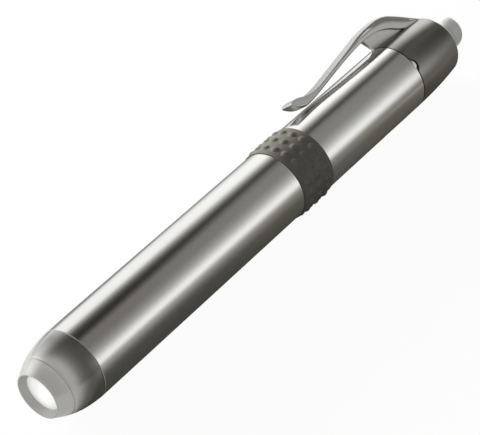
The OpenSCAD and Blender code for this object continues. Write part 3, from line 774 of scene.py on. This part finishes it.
def clipSection(row, fromTip):  # one closed loop across the clip
    s = clipShape
    top, under = row[:2], row[2:]
    depth = np.linalg.norm(top - under)
    down = (under - top) / depth
    back = max(0.0, 1 - fromTip / s["tipRound"])
    half = s["half"] - s["tipRound"] * (1 - math.sqrt(1 - back ** 2))
    share = min(1.0, max(0.0, (top[0] - s["archFrom"]) / (s["archTo"] - s["archFrom"])))
    share = share * share * (3 - 2 * share)
    full = min(1.0, s["tipSharp"] + fromTip / s["tipLength"])
    side = np.array(stripSide(half, depth, full)) * (1 - share) + np.array(archSide(depth)) * share
    points = [(top[0] + down[0] * d, -w, top[1] + down[1] * d) for w, d in side]
    return points + [(p[0], -p[1], p[2]) for p in points[-2:0:-1]]


def makeFin():  # a web between arch and cap, thicker towards the arch and the rear
    s = finShape
    (frontU, frontR), (footU, footR) = s["front"]
    curve = clipCurve()
    loops = []
    for ahead in np.linspace(0, s["length"], s["stations"]):
        reach = np.interp(frontU + ahead + s["shift"], curve[:, 2], curve[:, 3]) + s["into"]
        side = []
        for r in np.linspace(s["low"], reach, s["levels"]):
            share = (r - footR) / (frontR - footR)
            rise = min(1.0, max(0.0, share))
            wide = s["foot"] + (s["top"] - s["foot"]) * rise + s["wider"] * ahead
            side.append((footU + (frontU - footU) * share + ahead, -wide, r))
        loops.append(side + [(u, -wide, r) for u, wide, r in side[::-1]])
    return loops


def makeClip():
    rows = clipCurve()
    steps = np.linalg.norm(np.diff(rows[:, :2], axis=0), axis=1)
    fromTip = clipShape["tipStart"] + np.concatenate(((0,), np.cumsum(steps)))
    points, faces = [], []
    for loops in ([clipSection(*pair) for pair in zip(rows, fromTip)], makeFin()):
        faces += runFaces(len(loops), len(loops[0]), len(points))
        points += [point for loop in loops for point in loop]
    return points, faces


clip = addPiece("pocket_clip", makeClip(), finishes["clip_metal"],
                ["clip_arch", "clip_strip"])
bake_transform(clip)

# Frosted button with its fine groove and dome, hollow for the spring
buttonShape = {
    "radius": 3.65, "flangeStart": 121.28, "flangeEnd": 122.38, "flange": 5.05, "cavity": 2.8,
    "cavityEnd": 126.88, "rod": 1.54, "rodEnd": 127.9, "grooveAt": 128.2, "groove": 0.2,
    "grooveRound": 0.06, "grooveReach": 0.3, "end": 132.6, "dome": 2.6, "fullness": 2.6,
    "domeSteps": 40, "hold": 0.02, "columns": 160}


def makeButton():
    s = buttonShape
    at, deep, soft, reach = s["grooveAt"], s["groove"], s["grooveRound"], s["grooveReach"]
    power = 2 / s["fullness"]
    dome = [(s["end"] - s["dome"] + s["dome"] * math.sin(a) ** power,
             s["radius"] * math.cos(a) ** power)
            for a in np.linspace(0, quarterTurn, s["domeSteps"])[:-1]]
    corners = [
        (s["rodEnd"], 0), (s["rodEnd"], s["rod"]), (s["cavityEnd"], s["rod"]),
        (s["cavityEnd"], s["cavity"]), (s["flangeStart"], s["cavity"]),
        (s["flangeStart"], s["flange"]), (s["flangeEnd"], s["flange"]),
        (s["flangeEnd"], s["radius"]), (at - reach, s["radius"]), (at - deep, s["radius"], soft),
        (at, s["radius"] - deep, soft), (at + deep, s["radius"], soft), (at + reach, s["radius"]),
        *dome, (s["end"], 0)]
    return turned(rounded(corners, hold=s["hold"]), s["columns"])


addTurned("domed_button", makeButton(), "button_plastic", ["push_button"], "button")

# Return spring inside the button
springShape = {
    "start": 119.8, "end": 126.65, "radius": 2.45, "wire": 0.2, "turns": 5, "steps": 28,
    "sides": 10}


def makeSpring():
    s = springShape
    count = s["turns"] * s["steps"] + 1
    share = np.linspace(0, 1, count)[:, None]
    around = np.linspace(0, fullTurn, s["sides"], endpoint=False)[None, :]
    points = onPen(s["start"] + (s["end"] - s["start"]) * share + s["wire"] * np.sin(around),
                   s["radius"] + s["wire"] * np.cos(around), fullTurn * s["turns"] * share)
    return points.reshape(-1, 3).tolist(), runFaces(count, s["sides"])


returnSpring = addPiece("return_spring", makeSpring(), finishes["spring_steel"],
                        ["switch_spring"])
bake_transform(returnSpring)

# Bright collar round the button
collarShape = {
    "start": 124.4, "end": 125.36, "inner": 3.7, "outer": 4.57, "round": 0.1, "innerRound": 0.2,
    "columns": 160}


def makeCollar():
    s = collarShape
    corners = [(s["start"], s["inner"]), (s["start"], s["outer"]),
               (s["end"], s["outer"], s["round"]), (s["end"], s["inner"], s["innerRound"])]
    return turned(rounded(corners), s["columns"])


addTurned("bright_collar", makeCollar(), "bright_metal", ["button_collar"], "tail")
print("all pieces made")

# Stage: soft lamps, and a floor and a room that are plain white to the camera. Polished metal sees
# graded greys there instead, which were set until its bands fitted the photograph's.
# Tables give them by place: across the pen or along it in metres, or by the direction.
white = (1.0, 1.0, 1.0)
floorLook = {
    "half": 4.0, "shadowShare": 0.05, "bounce": 0.6, "lit": 0.95, "sideSoft": 0.001,
    # painted reflection of the floor that polished metal sees, by the distance across the pen,
    # darkest under it as painted shade
    "under": ((-0.25, 0.41), (-0.07, 0.28), (-0.04, 0.16), (-0.024, 0.092), (-0.015, 0.076),
              (-0.008, 0.065), (0.0, 0.055), (0.008, 0.07), (0.014, 0.13), (0.042, 0.62),
              (0.08, 1.0)),
    # ahead of the mouth: on the near side by the distance along the pen from aheadStart as a share
    # of the distance across it, and on the far side by the distance across
    "aheadStart": -0.0625, "aheadBlend": (0.38, 0.48), "farMeet": (-0.049, -0.04),
    "aheadNear": ((-0.2, 0.58), (-0.05, 0.56), (0.0, 0.5), (0.06, 0.38), (0.12, 0.29), (0.2, 0.18),
                  (0.3, 0.13), (0.5, 0.12)),
    "aheadFar": ((0.0, 0.4), (0.01, 0.75), (0.017, 0.92), (0.03, 1.0), (0.08, 1.1)),
    # how much lighter the near side gets towards the button
    "liftSide": (0.004, 0.012), "liftFade": (0.026, 0.055), "liftFrom": (-0.03, 0.04), "lift": 0.6,
    "rearLiftFrom": (0.045, 0.075), "rearLift": 1.3,
    # how much darker the far side of the front is
    "dimSide": (0.015, 0.03), "dimTo": (-0.03, 0.0), "dim": 0.3,
    # white behind the button in the painted reflection, which gives the bright line on the cap's
    # rear edge
    "behindStart": (0.065, 0.071), "behindSide": (-0.012, -0.002)}
roomLook = {
    # by the angle in degrees from the near horizon over the top, for the front and the rear
    "front": ((0, 0.42), (5, 0.6), (12, 1.05), (21, 1.04), (31, 0.68), (40, 0.43), (53, 0.275),
              (65, 0.2), (88, 0.19), (97, 0.09), (103, 0.035), (112, 0.03), (119, 0.06),
              (127, 0.13), (138, 0.46), (146, 0.95), (156, 1.1), (180, 1.1)),
    "rear": ((0, 0.55), (5, 0.75), (12, 1.05), (21, 1.04), (31, 0.78), (40, 0.56), (53, 0.39),
             (65, 0.3), (90, 0.27), (98, 0.25), (104, 0.19), (109, 0.11), (114, 0.09), (119, 0.15),
             (126, 0.34), (134, 0.66), (141, 1.0), (152, 1.12), (180, 1.12)),
    "rearFrom": (0.5, 0.66),
    # towards the mouth's side by the direction's share along the pen, near and far side
    "mouthNear": ((-1.0, 0.45), (-0.45, 0.46), (-0.37, 0.5), (-0.26, 0.56), (-0.1, 0.57),
                  (-0.04, 0.44), (0.03, 0.24), (0.1, 0.17), (0.2, 0.11), (0.32, 0.07),
                  (0.45, 0.06)),
    "mouthFar": ((-1.0, 1.3), (-0.1, 1.27), (0.07, 1.05), (0.16, 0.87), (0.24, 0.73), (0.31, 0.54),
                 (0.4, 0.42)),
    "mouthFarFrom": (120.0, 174.0), "mouthBlend": (0.39, 0.46),
    # brighter on the far side and darker on the near side, where only the cap looks
    "gainAngle": (116.0, 154.0), "gainFrom": (0.55, 0.8), "gain": 0.5,
    "dimAngle": (85.0, 105.0), "dimFrom": (0.675, 0.71), "dim": 0.62}
warmDark = {"below": 0.6, "green": 0.05, "blue": 0.2}
ambient = 0.33


def warmed(value):  # dark tones of the studio lean to warm grey, bright ones are neutral
    share = max(0.0, 1 - value / warmDark["below"])
    return value, value * (1 - warmDark["green"] * share), value * (1 - warmDark["blue"] * share)


def lookedUp(value, stops):  # the table's places moved to a ramp's 0 to 1
    low, high = stops[0][0], stops[-1][0]
    return ramp((value - low) / (high - low),
                [((at - low) / (high - low), warmed(tone)) for at, tone in stops])


def rayKinds(tree):
    path = tree.nodes.new("ShaderNodeLightPath")
    return (Wire(tree, path.outputs[key]) for key in (
        "Is Camera Ray", "Is Glossy Ray", "Is Transmission Ray"))


def floorTone(x, y):  # painted reflection of the floor that polished metal sees, with painted shade under and beside the pen
    s = floorLook
    near = y * -1.0
    lift = softStep(x, *s["liftFrom"]) * s["lift"] + softStep(x, *s["rearLiftFrom"]) * s["rearLift"]
    lift = lift * softStep(near, *s["liftSide"]) * (1.0 - softStep(near, *s["liftFade"]))
    dim = (1.0 - softStep(x, *s["dimTo"])) * s["dim"]
    under = dimmed(lookedUp(y, s["under"]), 1.0 + lift - softStep(y, *s["dimSide"]) * dim)
    share = (x - s["aheadStart"]) / near.sum("MAXIMUM", s["sideSoft"])
    nearTone = mixColours(softStep(share, *s["aheadBlend"]), lookedUp(share, s["aheadNear"]), under)
    farTone = mixColours(softStep(x, *s["farMeet"]), lookedUp(y, s["aheadFar"]), under)
    tone = mixColours(softStep(y, -s["sideSoft"], s["sideSoft"]), nearTone, farTone)
    behind = softStep(x, *s["behindStart"]) * softStep(y, *s["behindSide"])
    return mixColours(behind, tone, white)


def makeFloor():
    s = floorLook
    half = s["half"]
    mesh = bpy.data.meshes.new("floor")
    corners = [(-half, -half, 0), (half, -half, 0), (half, half, 0), (-half, half, 0)]
    mesh.from_pydata(corners, [], [(0, 1, 2, 3)])
    floor = bpy.data.objects.new("floor", mesh)
    bpy.context.scene.collection.objects.link(floor)
    material = bpy.data.materials.new("paleFloor")
    material.use_nodes = True
    tree = material.node_tree
    tree.nodes.clear()
    onCamera, onGlossy, onGlass = rayKinds(tree)
    place = addNode(tree, "ShaderNodeNewGeometry", None, None, "Position")
    tone = floorTone(along(place, 0), along(place, 1))
    bounce, lit = (addNode(tree, "ShaderNodeBsdfDiffuse", None, {"Color": (s[key],) * 3 + (1,)})
                   for key in ("bounce", "lit"))
    pale = addNode(tree, "ShaderNodeEmission", None, {"Color": (*white, 1)})
    reflected = addNode(tree, "ShaderNodeEmission", None, {"Color": tone})

    def mixed(share, first, second):
        return addNode(tree, "ShaderNodeMixShader", None, {0: share, 1: first, 2: second})

    shown = mixed(limited(onCamera + onGlass), bounce, mixed(s["shadowShare"], pale, lit))
    output = tree.nodes.new("ShaderNodeOutputMaterial")
    tree.links.new(mixed(onGlossy, shown, reflected).socket, output.inputs["Surface"])
    mesh.materials.append(material)


def roomTone(wayX, angle):  # what polished metal sees of the room
    s = roomLook
    room = mixColours(softStep(wayX, *s["rearFrom"]), lookedUp(angle, s["front"]),
                      lookedUp(angle, s["rear"]))
    gain = softStep(angle, *s["gainAngle"]) * softStep(wayX, *s["gainFrom"]) * s["gain"]
    dim = (1.0 - softStep(angle, *s["dimAngle"])) * softStep(wayX, *s["dimFrom"]) * s["dim"]
    mouth = mixColours(softStep(angle, *s["mouthFarFrom"]), lookedUp(wayX, s["mouthNear"]),
                       lookedUp(wayX, s["mouthFar"]))
    return mixColours(softStep(wayX, *s["mouthBlend"]), mouth, dimmed(room, 1.0 + gain - dim))


def makeWorld():
    world = bpy.data.worlds.new("studio")
    bpy.context.scene.world = world
    world.use_nodes = True
    tree = world.node_tree
    tree.nodes.clear()
    onCamera, onGlossy, onGlass = rayKinds(tree)
    way = addNode(tree, "ShaderNodeTexCoord", None, None, "Generated")
    wayX, wayY, wayZ = (along(way, side) for side in range(3))
    angle = wayZ.sum("ARCTAN2", wayY * -1.0) * math.degrees(1)
    seen = mixColours(onGlossy, white, roomTone(wayX, angle))
    colour = mixColours(limited(onCamera + onGlossy + onGlass), (ambient,) * 3, seen)
    sky = addNode(tree, "ShaderNodeBackground", None, {"Color": colour})
    output = tree.nodes.new("ShaderNodeOutputWorld")
    tree.links.new(sky.socket, output.inputs["Surface"])
    world.cycles.sampling_method = "NONE"


lamps = {
    "keyLamp": {"position": (-0.1, 0.68, 0.12), "size": 0.4, "power": 17.0},
    "fillLamp": {"position": (-0.45, -0.35, 0.55), "size": 0.6, "power": 0.6}}


def addLamp(name, position, size, power):  # aimed at the pen's middle
    data = bpy.data.lights.new(name, "AREA")
    data.shape = "DISK"
    data.size = size
    data.energy = power
    lamp = bpy.data.objects.new(name, data)
    bpy.context.scene.collection.objects.link(lamp)
    lamp.location = position
    lamp.rotation_euler = Vector(-np.array(position)).to_track_quat("-Z", "Y").to_euler()
    lamp.visible_glossy = False
    lamp.visible_camera = False


makeFloor()
makeWorld()
for lampName, lampLooks in lamps.items():
    addLamp(lampName, **lampLooks)

# Camera at the photograph's angle
cameraPlace = {
    "position": (-0.22126, -0.16531, 0.25613), "right": (0.60742, -0.79437, -0.00482),
    "up": (0.54120, 0.40938, 0.73452), "lens": 143.46, "sensor": 36.0, "clip": (0.01, 20.0)}


def makeCamera():
    s = cameraPlace
    data = bpy.data.cameras.new("camera")
    data.lens = s["lens"]
    data.sensor_width = s["sensor"]
    data.clip_start, data.clip_end = s["clip"]
    camera = bpy.data.objects.new("camera", data)
    bpy.context.scene.collection.objects.link(camera)
    right, up = np.array(s["right"]), np.array(s["up"])
    matrix = np.eye(4)
    matrix[:3] = np.stack((right, up, np.cross(right, up), s["position"]), -1)
    camera.matrix_world = Matrix(matrix.tolist())
    bpy.context.scene.camera = camera


makeCamera()
bpy.context.scene.view_settings.view_transform = "Standard"
print("stage set")
